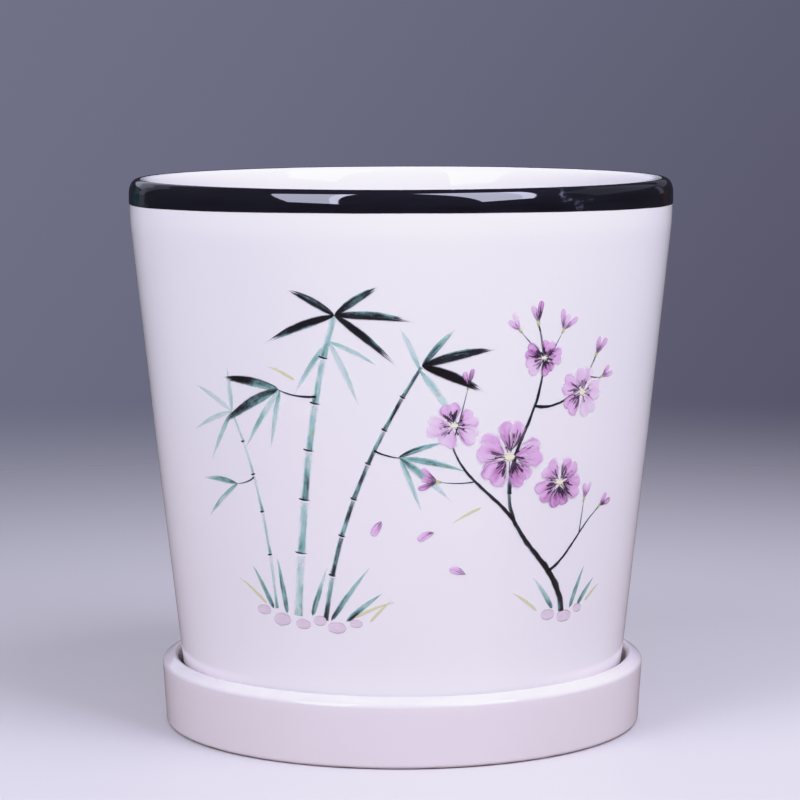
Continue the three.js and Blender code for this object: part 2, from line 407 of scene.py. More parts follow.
def connect(tree, item, links):
    """Links values to a node's inputs by their names."""
    for label, value in links.items():
        tree.links.new(value, item.inputs[label])


def object_place(tree):
    """The place on the object, which every pattern of the glaze follows."""
    return add(tree, "ShaderNodeTexCoord").outputs["Object"]


def math_node(tree, operation, a, b=0.0):
    return add(tree, "ShaderNodeMath", {0: a, 1: b}, operation=operation).outputs[0]


def times(tree, a, b):
    return math_node(tree, "MULTIPLY", a, b)


def plus(tree, a, b):
    return math_node(tree, "ADD", a, b)


def minus(tree, a, b):
    return math_node(tree, "SUBTRACT", a, b)


def clamped(tree, value):
    """The value, held between 0 and 1."""
    return math_node(tree, "MINIMUM", math_node(tree, "MAXIMUM", value, 0.0), 1.0)


def soft_step(tree, value, low, high, out_low=0.0, out_high=1.0):
    """A soft step from out_low to out_high while value goes from low to high."""
    return add(tree, "ShaderNodeMapRange", {
        "Value": value, "From Min": low, "From Max": high, "To Min": out_low, "To Max": out_high,
    }, interpolation_type="SMOOTHSTEP").outputs[0]


def mix_color(tree, share, a, b):
    return add(tree, "ShaderNodeMix", {0: share, 6: a, 7: b}, data_type="RGBA").outputs[2]


def mix_value(tree, share, a, b):
    return add(tree, "ShaderNodeMix", {0: share, 2: a, 3: b}, data_type="FLOAT").outputs[0]


def noise_node(tree, vector, scale, detail=2.0, roughness=0.5):
    return add(tree, "ShaderNodeTexNoise", {
        "Vector": vector, "Scale": scale, "Detail": detail, "Roughness": roughness}).outputs[0]


def attribute(tree, name):
    return add(tree, "ShaderNodeAttribute", attribute_name=name).outputs["Fac"]


def ramp(tree, value, stops):
    """A colour ramp with stops of place and colour."""
    item = add(tree, "ShaderNodeValToRGB", {"Fac": value})
    elements = item.color_ramp.elements
    while len(elements) < len(stops):
        elements.new(0.5)
    for element, (place, color) in zip(elements, stops):
        element.position = place
        element.color = color
    return item.outputs["Color"]


def srgb(red, green, blue):
    """A colour in linear light from its 8-bit display values."""
    def linear(value):
        value /= 255
        return value / 12.92 if value <= 0.04045 else ((value + 0.055) / 1.055) ** 2.4
    return (linear(red), linear(green), linear(blue), 1.0)


# Colours of glaze and clay
POT_WHITE = srgb(236, 232, 229)
# painted light: the glaze is whiter low on the pot's sides, where the saucer's rim throws light up
POT_WHITE_BOUNCE_LIT = srgb(251, 241, 243)
# painted shade: the pot's inside is darker than its outside
POT_INSIDE_SHADE = srgb(221, 216, 215)
SAUCER_WHITE = srgb(227, 219, 216)
# painted shade on the top of the saucer's rim
SAUCER_RIM_SHADE = srgb(202, 194, 202)
SPECK = srgb(112, 92, 78)
CLAY_DEEP = srgb(150, 134, 112)
CLAY_PALE = srgb(178, 162, 138)
CLAY_GRAIN = srgb(112, 96, 78)
BAND_STREAKS = (
    (0.30, (0.0056, 0.0052, 0.0076, 1.0)),
    (0.55, (0.0088, 0.0083, 0.0118, 1.0)),
    (0.75, (0.0080, 0.0090, 0.0116, 1.0)),
)
BAND_BROWN_EDGE = (0.020, 0.0055, 0.0045, 1.0)
SCUFF_GREY = srgb(72, 71, 86)
BAND_IOR = 1.66                  # glossier than the white glaze
BAND_STREAK_STRETCH = 9.0        # the streaks are this much longer round the lip than they are high
BAND_BROWN = (0.10, 0.42)        # lower edge up to where its brown starts to fade and is gone, in mm
BAND_BROWN_WANDER = 0.25

# Glaze and clay seen close: the scale of each pattern, and the height of its relief in millimetres
CLOUD_SCALE = 26.0
SPECK_SCALE = 85.0
SPECK_LIMIT = 0.955              # a cell whose random number is over this has a speck
SPECK_RADIUS = (0.009, 0.02)     # of the smallest and the largest, as a share of a cell
PINHOLE_SCALE = 62.0
PINHOLE_LIMIT = 0.93             # and one over this a pinhole
PINHOLE_RADIUS = 0.022
PINHOLE_DEPTH = 0.05
PEEL_SCALE = 620.0
PEEL_HEIGHT = 0.0016
WAVE_SCALE = 150.0
WAVE_HEIGHT = 0.008
GLOSS_SCALE = 240.0
GLAZE_ROUGHNESS = (0.02, 0.055)
CLAY_GRAIN_SCALE = 2600.0
CLAY_GRAIN_HEIGHT = 0.03
CLAY_STAIN_SCALE = 90.0
CLAY_ROUGHNESS = (0.72, 0.92)
CLAY_EDGE_SCALE = 210.0
CLAY_EDGE_WANDER = 0.9 * MM      # how much the glaze's edge on the clay goes up and down
CLAY_EDGE_BLUR = 0.05 * MM


def group(name, ins, outs):
    """An empty node group with named sockets, its tree and its two end nodes."""
    tree = bpy.data.node_groups.new(name, "ShaderNodeTree")
    for labels, way in ((ins, "INPUT"), (outs, "OUTPUT")):
        for label in labels:
            kind = "NodeSocketColor" if label == "Color" else "NodeSocketFloat"
            tree.interface.new_socket(label, in_out=way, socket_type=kind)
    return tree, tree.nodes.new("NodeGroupInput"), tree.nodes.new("NodeGroupOutput")


def place_group(tree, grouped, inputs):
    """A group placed in a tree, with values or links on its inputs."""
    return add(tree, "ShaderNodeGroup", inputs, node_tree=grouped).outputs


def glaze_skin_group():
    """Fired glaze seen close: cloudy tone, rare specks and pinholes, orange peel and soft waves."""
    tree, ins, outs = group("glaze_skin", ("Color", "Cloud", "Specks"), ("Color", "Roughness", "Height"))
    where = object_place(tree)
    cloud = noise_node(tree, where, CLOUD_SCALE, detail=3.0)
    cloud = times(tree, minus(tree, cloud, 0.5), ins.outputs["Cloud"])
    tone = plus(tree, cloud, 1.0)
    tinted = add(tree, "ShaderNodeVectorMath", {0: ins.outputs["Color"], "Scale": tone}, operation="SCALE")

    cells = add(tree, "ShaderNodeTexVoronoi", {"Vector": where, "Scale": SPECK_SCALE})
    chosen = add(tree, "ShaderNodeSeparateColor", {"Color": cells.outputs["Color"]})
    rare = math_node(tree, "GREATER_THAN", chosen.outputs["Red"], SPECK_LIMIT)
    size = soft_step(tree, chosen.outputs["Green"], 0.0, 1.0, *SPECK_RADIUS)
    near = math_node(tree, "LESS_THAN", cells.outputs["Distance"], size)
    speck = times(tree, times(tree, rare, near), ins.outputs["Specks"])
    color = mix_color(tree, speck, tinted.outputs[0], SPECK)

    holes = add(tree, "ShaderNodeTexVoronoi", {"Vector": where, "Scale": PINHOLE_SCALE})
    hole_pick = add(tree, "ShaderNodeSeparateColor", {"Color": holes.outputs["Color"]})
    hole_rare = math_node(tree, "GREATER_THAN", hole_pick.outputs["Blue"], PINHOLE_LIMIT)
    dimple = soft_step(tree, holes.outputs["Distance"], 0.0, PINHOLE_RADIUS, 1.0, 0.0)
    dimple = times(tree, times(tree, dimple, hole_rare), -PINHOLE_DEPTH)

    peel = times(tree, noise_node(tree, where, PEEL_SCALE, detail=1.0), PEEL_HEIGHT)
    wave = times(tree, noise_node(tree, where, WAVE_SCALE, detail=1.0), WAVE_HEIGHT)
    height = plus(tree, plus(tree, peel, wave), dimple)
    gloss = soft_step(tree, noise_node(tree, where, GLOSS_SCALE), 0.3, 0.7, *GLAZE_ROUGHNESS)
    connect(tree, outs, {"Color": color, "Roughness": gloss, "Height": height})
    return tree


def bare_clay_group():
    """Unglazed clay below a wandering edge at a height: matt, sandy and a little stained."""
    tree, ins, outs = group("bare_clay", ("Edge height",), ("Color", "Roughness", "Height", "Mask"))
    where = object_place(tree)
    grain = noise_node(tree, where, CLAY_GRAIN_SCALE, roughness=0.7)
    stain = noise_node(tree, where, CLAY_STAIN_SCALE, detail=3.0)
    tone = ramp(tree, stain, [(0.3, CLAY_DEEP), (0.7, CLAY_PALE)])
    color = mix_color(tree, soft_step(tree, grain, 0.62, 0.72), tone, CLAY_GRAIN)
    height_z = add(tree, "ShaderNodeSeparateXYZ", {"Vector": where}).outputs["Z"]
    uneven = minus(tree, noise_node(tree, where, CLAY_EDGE_SCALE), 0.5)
    wander = times(tree, uneven, CLAY_EDGE_WANDER)
    level = plus(tree, height_z, wander)
    above = minus(tree, level, ins.outputs["Edge height"])
    connect(tree, outs, {
        "Color": color,
        "Roughness": soft_step(tree, grain, 0.2, 0.8, *CLAY_ROUGHNESS),
        "Height": times(tree, grain, CLAY_GRAIN_HEIGHT),
        "Mask": soft_step(tree, above, -CLAY_EDGE_BLUR, CLAY_EDGE_BLUR, 1.0, 0.0)})
    return tree


GLAZE_SKIN = glaze_skin_group()
BARE_CLAY = bare_clay_group()


def new_material(name):
    """A material, its tree and its shader."""
    material = bpy.data.materials.new(name)
    material.use_nodes = True
    return material, material.node_tree, material.node_tree.nodes["Principled BSDF"]


def dress(tree, shader, color, roughness, height):
    """Links colour, roughness and a height in millimetres to the shader."""
    bump = add(tree, "ShaderNodeBump", {"Height": height, "Distance": MM, "Strength": 1.0})
    connect(tree, shader, {"Base Color": color, "Roughness": roughness, "Normal": bump.outputs[0]})


def pot_tone(tree):
    """The pot's glaze, with painted light low on both sides, thrown up from the saucer's rim, and painted
    shade inside.
    """
    place = add(tree, "ShaderNodeSeparateXYZ", {"Vector": object_place(tree)})
    top = FOOT_Z + BOUNCE_LIGHT_TOP
    # painted light thrown up from the saucer's rim, low on both sides
    bounce_light = soft_step(tree, place.outputs["Z"], top - BOUNCE_LIGHT_FADE, top, 0.8, 0.0)
    aside = math_node(tree, "ABSOLUTE", place.outputs["X"])
    bounce_light = times(tree, bounce_light, soft_step(tree, aside, *BOUNCE_LIGHT_SIDES))
    color = mix_color(tree, bounce_light, POT_WHITE, POT_WHITE_BOUNCE_LIT)
    # painted shade on the inside of the pot
    return mix_color(tree, attribute(tree, "inside"), color, POT_INSIDE_SHADE)


def saucer_tone(tree):
    """The saucer's glaze, with painted shade over the top of its rim, a little cloudy, strongest in front
    and behind.
    """
    where = object_place(tree)
    place = add(tree, "ShaderNodeSeparateXYZ", {"Vector": where})
    start, full = (SAUCER_TOP - drop for drop in SAUCER_RIM_SHADE_TOP)
    cloudy = noise_node(tree, where, scale=120.0, detail=3.0, roughness=0.6)
    cloudy = soft_step(tree, cloudy, 0.35, 0.65, 0.75, 1.0)
    aside = soft_step(tree, math_node(tree, "ABSOLUTE", place.outputs["X"]), *SAUCER_RIM_SHADE_SIDES, 1.0, 0.4)
    # painted shade on the rim's top, which faces the light from above
    amount = times(tree, soft_step(tree, place.outputs["Z"], start, full), times(tree, cloudy, aside))
    return mix_color(tree, amount, SAUCER_WHITE, SAUCER_RIM_SHADE)


def white_glaze(name, tone, bare_z):
    """White glaze with the tone of a piece, and bare clay below a height."""
    material, tree, shader = new_material(name)
    color = tone(tree)
    skin = place_group(tree, GLAZE_SKIN, {"Color": color, "Cloud": 0.05, "Specks": 0.5})
    clay = place_group(tree, BARE_CLAY, {"Edge height": bare_z})
    mixed = mix_color(tree, clay["Mask"], skin["Color"], clay["Color"])
    rough, height = (mix_value(tree, clay["Mask"], skin[label], clay[label])
                     for label in ("Roughness", "Height"))
    dress(tree, shader, mixed, rough, height)
    return material


def spot(tree, where, place, reach):
    """1 round a place, falling to nothing at its reach."""
    away = add(tree, "ShaderNodeVectorMath", {0: where, 1: place}, operation="DISTANCE").outputs["Value"]
    return soft_step(tree, away, THIN_CORE * reach, reach, 1.0, 0.0)


def band_glaze():
    """Near-black banding glaze, green or brown where it is thin, with a painted green reflection at its
    left end, a brown lower edge and scuffs.
    """
    material, tree, shader = new_material("band_glaze")
    where = object_place(tree)
    uneven = minus(tree, noise_node(tree, where, scale=160.0, detail=3.0), 0.5)
    edge = plus(tree, attribute(tree, "edge_mm"), times(tree, uneven, BAND_BROWN_WANDER))
    streak_place = add(tree, "ShaderNodeMapping", {
        "Vector": where, "Scale": (1.0, 1.0, BAND_STREAK_STRETCH)}).outputs[0]
    streak = noise_node(tree, streak_place, scale=55.0, detail=4.0, roughness=0.6)
    body = ramp(tree, streak, BAND_STREAKS)
    brown = soft_step(tree, edge, *BAND_BROWN, 1.0, 0.0)
    color = mix_color(tree, times(tree, brown, 0.8), body, BAND_BROWN_EDGE)
    # thin glaze, and at the band's left end in front a painted green reflection
    for place, reach, shown in THIN_GLAZE_AND_REFLECTION:
        color = mix_color(tree, spot(tree, where, place, reach), color, shown)
    skin = place_group(tree, GLAZE_SKIN, {"Color": color, "Cloud": 0.3, "Specks": 0.0})

    rubbed = soft_step(tree, noise_node(tree, where, scale=22.0, detail=1.0), 0.60, 0.66, 0.0, 0.6)
    for place, reach in SCUFFS:
        rubbed = math_node(tree, "MAXIMUM", rubbed, spot(tree, where, place, reach))
    scuff_place = add(tree, "ShaderNodeMapping", {
        "Vector": where, "Rotation": (0.5, 0.3, 0.0), "Scale": (1.0, 1.0, 2.6)}).outputs[0]
    scuff = noise_node(tree, scuff_place, scale=260.0, detail=5.0, roughness=0.65)
    scuff = soft_step(tree, plus(tree, scuff, times(tree, rubbed, 0.12)), 0.60, 0.74)
    scuff = times(tree, scuff, rubbed)
    color = mix_color(tree, times(tree, scuff, 0.55), skin["Color"], SCUFF_GREY)
    gloss = plus(tree, skin["Roughness"], times(tree, scuff, 0.35))
    dress(tree, shader, color, gloss, skin["Height"])
    shader.inputs["IOR"].default_value = BAND_IOR
    return material


# bare clay at the foot, raised so high that it also paints shade into the gap inside the saucer's rim
POT_GLAZE = white_glaze("pot_white_glaze", pot_tone, FOOT_Z + BARE_CLAY_AND_SHADE_TOP)
SAUCER_GLAZE = white_glaze("saucer_white_glaze", saucer_tone, SAUCER_BARE_FOOT)

body_mesh = turned(pot_profile(), closed=True, hold=hold_pot)
cut_drain_notches(body_mesh)
set_inside(body_mesh)
pot = piece_of(body_mesh, "pot_body", POT_GLAZE)
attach(pot, "pot")
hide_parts("pot")

band_mesh = turned(band_profile(), closed=True, hold=hold_pot)
set_brush_line(band_mesh)
band = piece_of(band_mesh, "rim_glaze_band", band_glaze())
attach(band, "pot")
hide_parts("rim_band")

saucer = piece_of(turned(saucer_profile(), closed=False, hold=hold_saucer), "saucer_body", SAUCER_GLAZE)
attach(saucer, "saucer")
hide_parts("saucer")


# The painting lies on the front wall. Its places are in millimetres: first along the girth from
# the middle of the front, then up from the table.
PAINT_STEP = 0.004 * MM          # strokes that cross lie this far over each other
STACK = 7                        # and after this many strokes the next lies lowest again
SPAN_STEPS = 8                   # in which the length of a stroke is measured
SEED_STEP = 0.731                # from stroke to stroke, so that no two have the same grain
EDGE_WAVES = 0.45                # of a stroke's rough edge, per millimetre


def on_wall(x, z, lift):
    """The place on the outer wall at a place of the painting, a lift off the glaze."""
    x, z = x * MM, z * MM
    radius = wall_radius(z)
    side, front = math.sin(x / radius), math.cos(x / radius)
    place = Vector((radius * side, -radius * front, z))
    out = Vector((side, -front, -SLOPE)).normalized()
    return place + out * (glaze_swell(place) + lift)


def along_route(route, share):
    """Place and direction on a Bezier curve over any number of control points."""
    points = [Vector(point) for point in route]
    while len(points) > 2:
        points = [a.lerp(b, share) for a, b in zip(points, points[1:])]
    return points[0].lerp(points[1], share), (points[1] - points[0]).normalized()


def on_route(route, share):
    """The place at a share of a route."""
    return along_route(route, share)[0]


def pressed(rise, fall):
    """How a brush widens from nothing and narrows to nothing again; 1 where it is widest."""
    peak = rise / (rise + fall)
    most = peak ** rise * (1 - peak) ** fall

    def width(share):
        return max(share, 0.0) ** rise * max(1 - share, 0.0) ** fall / most
    return width


LEAF = pressed(0.62, 1.05)
BLADE = pressed(0.32, 0.95)
PETAL = pressed(0.85, 0.42)
ROUND = pressed(0.5, 0.5)


def reed(share):
    """A cane's joint: straight, a little wider at both ends."""
    return 0.86 + 0.14 * abs(2 * share - 1) ** 3


def twig(share):
    """A branch that gets thinner along its way."""
    return 1.0 - 0.62 * share


NOTES = ("tone", "seed", "span", "dry")


class PaintSheet:
    """Strokes of one kind of paint, as thin sheets on the wall that make one piece."""

    def __init__(self, lift):
        self.bm = bmesh.new()
        self.bm.loops.layers.uv.new("stroke")
        self.notes = {name: self.bm.verts.layers.float.new(name) for name in NOTES}
        self.lift = lift
        self.count = 0

    def stroke(self, route, width, press, tones, rows=24, columns=6, notch=0.0, rough=0.06, dry=1.0):
        """A ribbon along a route, as wide as the press of the brush, with its tone from end to end."""
        self.count += 1
        seed = self.count * SEED_STEP
        stations = [on_route(route, i / SPAN_STEPS) for i in range(SPAN_STEPS + 1)]
        span = sum((b - a).length for a, b in zip(stations, stations[1:]))
        lift = self.lift * MM + PAINT_STEP * (self.count % STACK)
        sheet = bmesh.ops.create_grid(
            self.bm, x_segments=rows, y_segments=columns, size=1.0, calc_uvs=True)
        for v in sheet["verts"]:
            share, across = (v.co.x + 1) / 2, v.co.y
            place, way = along_route(route, share)
            half = width / 2 * press(share)
            side = 3.0 if across > 0 else 0.0
            half *= 1 + rough * noise.noise(Vector((share * span * EDGE_WAVES, side, seed)))
            place = place + Vector((-way.y, way.x)) * (across * half)
            place -= way * (notch * span * share ** 3 * (1 - abs(across)) ** 1.5)
            v[self.notes["tone"]] = tones[0] + (tones[1] - tones[0]) * share
            v[self.notes["seed"]] = seed
            v[self.notes["span"]] = span
            v[self.notes["dry"]] = dry
            v.co = on_wall(place.x, place.y, lift)

    def finish(self, name, material):
        """Makes one piece of these strokes, riding on the pot."""
        piece = piece_of(self.bm, name, material)
        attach(piece, "pot")


def paint_material(name):
    """A material for paint under the glaze, with the place on the stroke and its notes."""
    material, tree, shader = new_material(name)
    place = add(tree, "ShaderNodeUVMap", uv_map="stroke").outputs[0]
    xyz = add(tree, "ShaderNodeSeparateXYZ", {"Vector": place})
    notes = {"along": xyz.outputs["X"], "across": xyz.outputs["Y"]}
    for label in NOTES:
        notes[label] = attribute(tree, label)
    return material, tree, shader, notes


def finish_paint(tree, shader, color, cover):
    """Paint under the same glossy glaze as the wall round it."""
    skin = place_group(tree, GLAZE_SKIN, {"Color": color, "Cloud": 0.05, "Specks": 0.0})
    dress(tree, shader, skin["Color"], skin["Roughness"], skin["Height"])
    tree.links.new(cover, shader.inputs["Alpha"])


def stroke_noise(tree, along, across, seed, detail=2.0):
    """Noise that follows a stroke, from a place along it and across it and the stroke's own seed."""
    place = add(tree, "ShaderNodeCombineXYZ", {0: along, 1: across, 2: seed}).outputs[0]
    return noise_node(tree, place, scale=1.0, detail=detail, roughness=0.6)


def brush_group():
    """A brush stroke seen close: soft sides, bristle streaks, wet edges and a dry broken tail."""
    tree, ins, outs = group(
        "brush", ("Along", "Across", "Span", "Seed", "Feather", "Dry"), ("Cover", "Streak", "Wet edge"))
    along, across = ins.outputs["Along"], ins.outputs["Across"]
    run = times(tree, along, ins.outputs["Span"])
    seed = ins.outputs["Seed"]
    streak = stroke_noise(tree, times(tree, run, 0.16), times(tree, across, 7.0), seed, detail=3.0)
    seed = plus(tree, seed, 9.0)
    blot = stroke_noise(tree, times(tree, run, 0.55), times(tree, across, 1.6), seed, detail=3.0)
    off_middle = math_node(tree, "ABSOLUTE", minus(tree, across, 0.5))
    side = minus(tree, 0.5, off_middle)
    fray = times(tree, minus(tree, blot, 0.5), 0.10)
    frayed = plus(tree, side, fray)
    cover = soft_step(tree, frayed, 0.0, ins.outputs["Feather"])
    tail = soft_step(tree, along, 0.45, 1.0, 0.0, 1.0)
    broken = times(tree, times(tree, tail, ins.outputs["Dry"]), 0.62)
    dry = soft_step(tree, minus(tree, streak, broken), 0.08, 0.2)
    cover = times(tree, cover, dry)
    wet = soft_step(tree, side, 0.05, 0.22, 1.0, 0.0)
    mixed = mix_value(tree, 0.5, streak, blot)
    connect(tree, outs, {"Cover": cover, "Streak": mixed, "Wet edge": wet})
    return tree


BRUSH = brush_group()


def brushed(tree, notes, feather, dry):
    """The brush on a stroke, with the softness of its sides and how much its tail breaks up."""
    return place_group(tree, BRUSH, {
        "Along": notes["along"], "Across": notes["across"], "Span": notes["span"], "Seed": notes["seed"],
        "Feather": feather, "Dry": times(tree, notes["dry"], dry)})


def along_noise(tree, notes, steps, lines, shift):
    """Noise on a stroke, with its steps per millimetre along it and its lines across it."""
    run = times(tree, times(tree, notes["along"], notes["span"]), steps)
    across = times(tree, notes["across"], lines)
    return minus(tree, stroke_noise(tree, run, across, plus(tree, notes["seed"], shift)), 0.5)


def leaf_paint(name, dry, feather):
    """Paint that runs from pale green wash over teal to ink with a stroke's tone."""
    material, tree, shader, notes = paint_material(name)
    brush = brushed(tree, notes, feather=feather, dry=dry)
    tone = notes["tone"]
    for part, size in ((minus(tree, brush["Streak"], 0.5), 0.8),
                       (along_noise(tree, notes, 0.13, 0.9, 31.0), 1.3),
                       (soft_step(tree, notes["across"], 0.6, 1.0), -0.34),
                       (along_noise(tree, notes, 2.6, 9.0, 53.0), 0.35),
                       (brush["Wet edge"], 0.04)):
        tone = plus(tree, tone, times(tree, part, size))
    tone = clamped(tree, tone)
    color = ramp(tree, tone, [
        (0.00, srgb(204, 230, 222)), (0.26, srgb(158, 208, 194)), (0.46, srgb(122, 168, 158)),
        (0.62, srgb(78, 102, 100)), (0.78, srgb(36, 40, 44)), (1.00, srgb(12, 12, 15))])
    olive = soft_step(tree, along_noise(tree, notes, 0.3, 1.5, 77.0), 0.10, 0.2)
    olive = times(tree, olive, soft_step(tree, tone, 0.35, 0.6, 0.7, 0.0))
    color = mix_color(tree, olive, color, srgb(140, 182, 120))
    strength = soft_step(tree, tone, 0.0, 0.6, 0.45, 0.97)
    pale_tip = soft_step(tree, notes["along"], 0.7, 1.0, 1.0, 0.6)
    cover = times(tree, times(tree, brush["Cover"], strength), pale_tip)
    finish_paint(tree, shader, color, cover)
    return material


def petal_paint(name):
    """Lilac petals with pale rims, dark veins that run out from the heart, and bare white lines."""
    material, tree, shader, notes = paint_material(name)
    brush = brushed(tree, notes, feather=0.2, dry=0.0)
    along, across, tone = notes["along"], notes["across"], notes["tone"]

    def fan(lines, drift, shift):
        """Lines that run out from the heart: how many, how fast they change, and a seed."""
        seed = plus(tree, notes["seed"], shift)
        return stroke_noise(tree, times(tree, along, drift), times(tree, across, lines), seed)

    soft, veins, bare = fan(4.0, 1.1, 2.0), fan(9.0, 1.6, 21.0), fan(10.0, 1.4, 47.0)
    shade = times(tree, minus(tree, soft, 0.5), 1.3)
    shade = plus(tree, shade, times(tree, tone, 0.62))
    shade = plus(tree, shade, soft_step(tree, along, 0.0, 0.9, 0.32, 0.0))
    shade = clamped(tree, shade)
    color = ramp(tree, shade, [
        (0.00, srgb(248, 224, 240)), (0.26, srgb(237, 200, 228)), (0.52, srgb(216, 166, 206)),
        (0.78, srgb(182, 122, 172)), (1.00, srgb(113, 78, 110))])
    reach = minus(tree, soft_step(tree, along, 0.15, 0.9, 0.50, 0.80), times(tree, tone, 0.12))
    dark = soft_step(tree, minus(tree, veins, reach), 0.0, 0.06)
    dark = times(tree, dark, soft_step(tree, tone, 0.0, 0.7, 0.55, 0.95))
    color = mix_color(tree, dark, color, srgb(46, 30, 48))
    line_reach = soft_step(tree, along, 0.1, 0.95, 0.58, 0.70)
    gaps = soft_step(tree, minus(tree, bare, line_reach), 0.0, 0.04, 1.0, 0.08)
    end = soft_step(tree, along, 0.9, 1.0, 1.0, 0.0)
    cover = times(tree, times(tree, brush["Cover"], gaps), end)
    cover = times(tree, cover, soft_step(tree, shade, 0.0, 0.5, 0.72, 0.96))
    finish_paint(tree, shader, color, cover)
    return material


def plain_paint(name, pale, deep, feather, strength):
    """One colour of paint that runs from pale to deep with a stroke's tone."""
    material, tree, shader, notes = paint_material(name)
    brush = brushed(tree, notes, feather=feather, dry=0.0)
    spread = times(tree, minus(tree, brush["Streak"], 0.5), 0.7)
    tone = plus(tree, notes["tone"], spread)
    tone = clamped(tree, plus(tree, tone, times(tree, brush["Wet edge"], 0.3)))
    color = mix_color(tree, tone, pale, deep)
    finish_paint(tree, shader, color, times(tree, brush["Cover"], strength))
    return material


# The seven sheets of paint, with their lift off the glaze in millimetres
wash = PaintSheet(0.030)
ink = PaintSheet(0.066)
petals = PaintSheet(0.100)
hearts = PaintSheet(0.134)
stamens = PaintSheet(0.166)
stones = PaintSheet(0.030)
sprouts = PaintSheet(0.048)
draw = random.Random(11)
PETAL_COUNT = 5
STAMEN_COUNT = 8


def heading(degrees):
    return Vector((math.cos(math.radians(degrees)), math.sin(math.radians(degrees))))


def leaf(sheet, x, z, degrees, length, width, tones, sag=0.0):
    """A lance-shaped leaf from its stalk to its tip, bent down by its sag."""
    start, way = Vector((x, z)), heading(degrees)
    tip = start + way * length + Vector((0, -sag * length))
    middle = start + way * (length * 0.55) + Vector((0, sag * length * 0.12))
    sheet.stroke([start, middle, tip], width, LEAF, tones, rows=28)


def spray(sheet, x, z, leaves, tone, fade=-0.12, sag=0.12):
    """Leaves that hang from one point of a twig, each with its direction and length."""
    for degrees, length in leaves:
        width = length * draw.uniform(0.12, 0.16)
        first = tone + draw.uniform(-0.1, 0.1)
        leaf(sheet, x, z, degrees, length, width, (first, first + fade * draw.uniform(0.4, 1.6)), sag)


def cane(sheet, route, width, joints, tone):
    """A jointed cane along a route, with an ink line over each joint."""
    for i in range(joints):
        low, high = (i + 0.03) / joints, (i + 0.97) / joints
        low, high = low ** 0.9, high ** 0.9
        a, way = along_route(route, low)
        b = on_route(route, high)
        middle = on_route(route, (low + high) / 2)
        amount = 1 - 0.3 * (low + high) / 2
        sheet.stroke([a, middle, b], width * amount, reed, (tone + 0.12, tone - 0.10), rows=16, rough=0.05)
        if i:
            across = Vector((way.y, -way.x)) * width * amount * 0.62
            ink.stroke([a - across, a - way * 0.35, a + across], 0.55, LEAF, (1.0, 0.9),
                       rows=10, columns=3, dry=0.3)


def side_twig(route, width, tone=0.9):
    """A thin ink twig."""
    ink.stroke(route, width, twig, (tone, tone - 0.05), rows=18, columns=4, rough=0.25, dry=0.15)


def blossom(x, z, radius, turn, tilt, tone):
    """An open flower of rounded petals round a pale heart with dark stamens."""
    centre = Vector((x, z))
    for i in range(PETAL_COUNT):
        degrees = turn + 360 / PETAL_COUNT * i + draw.uniform(-6, 6)
        way = heading(degrees)
        way.y *= tilt
        length = radius * draw.uniform(0.88, 1.06)
        start, tip = centre + way * radius * 0.16, centre + way * length
        bow = Vector((-way.y, way.x)) * draw.uniform(-0.08, 0.08) * radius
        width = radius * (0.72 + 0.22 * tilt) * draw.uniform(0.92, 1.06)
        shade = tone + draw.uniform(-0.4, 0.4)
        petals.stroke([start, (start + tip) / 2 + bow, tip], width, PETAL, (shade, shade),
                      rows=20, columns=14, notch=0.12, rough=0.2)
    reach = Vector((radius * 0.17, 0))
    hearts.stroke([centre - reach, centre, centre + reach], radius * 0.3 * tilt, ROUND, (0.2, 0.2),
                  rows=10, columns=6, rough=0.3)
    for i in range(STAMEN_COUNT):
        way = heading(turn + 20 + 360 / STAMEN_COUNT * i + draw.uniform(-12, 12))
        way.y *= tilt
        inner, outer = centre + way * radius * 0.13, centre + way * radius * draw.uniform(0.26, 0.42)
        stamens.stroke([inner, (inner + outer) / 2, outer], 0.3, reed, (0.9, 0.9),
                       rows=5, columns=3, rough=0.0)
        knob = way.normalized() * 0.36
        stamens.stroke([outer - knob * 0.4, outer + knob * 0.4, outer + knob * 1.4], 0.66, ROUND,
                       (0.8, 0.8), rows=5, columns=3)


def bud(place, degrees, length, tone, folds):
    """A closed bud of narrow petals over a faint green stalk end."""
    start, way = Vector(place), heading(degrees)
    for i in range(folds):
        lean = (i - (folds - 1) / 2) * 26
        side = Vector((-way.y, way.x)) * ((folds - 1) / 2 - i) * -0.12 * length
        tip = start + side + heading(degrees + lean) * length * (1 - 0.18 * (i % 2))
        shade = tone + draw.uniform(-0.3, 0.3)
        petals.stroke([start + side * 0.5, (start + tip) / 2, tip], length * 0.34, PETAL, (shade, shade),
                      rows=14, columns=6, rough=0.25)
    cup = start - way * length * 0.3
    sprouts.stroke([cup, start, start + way * length * 0.1], length * 0.22, ROUND, (0.7, 0.4),
                   rows=8, columns=4)


def bud_on(route, share, x, z, degrees, length):
    """A bud at the end of a thin stalk that leaves a branch."""
    start, end = on_route(route, share), Vector((x, z))
    end -= heading(degrees) * 0.6
    middle = (start + end) / 2 + Vector((0, -0.08 * (end - start).length))
    side_twig([start, middle, end], 0.45, 0.8)
    bud((x, z), degrees, length, draw.uniform(0.3, 0.9), draw.choice((2, 2, 3)))


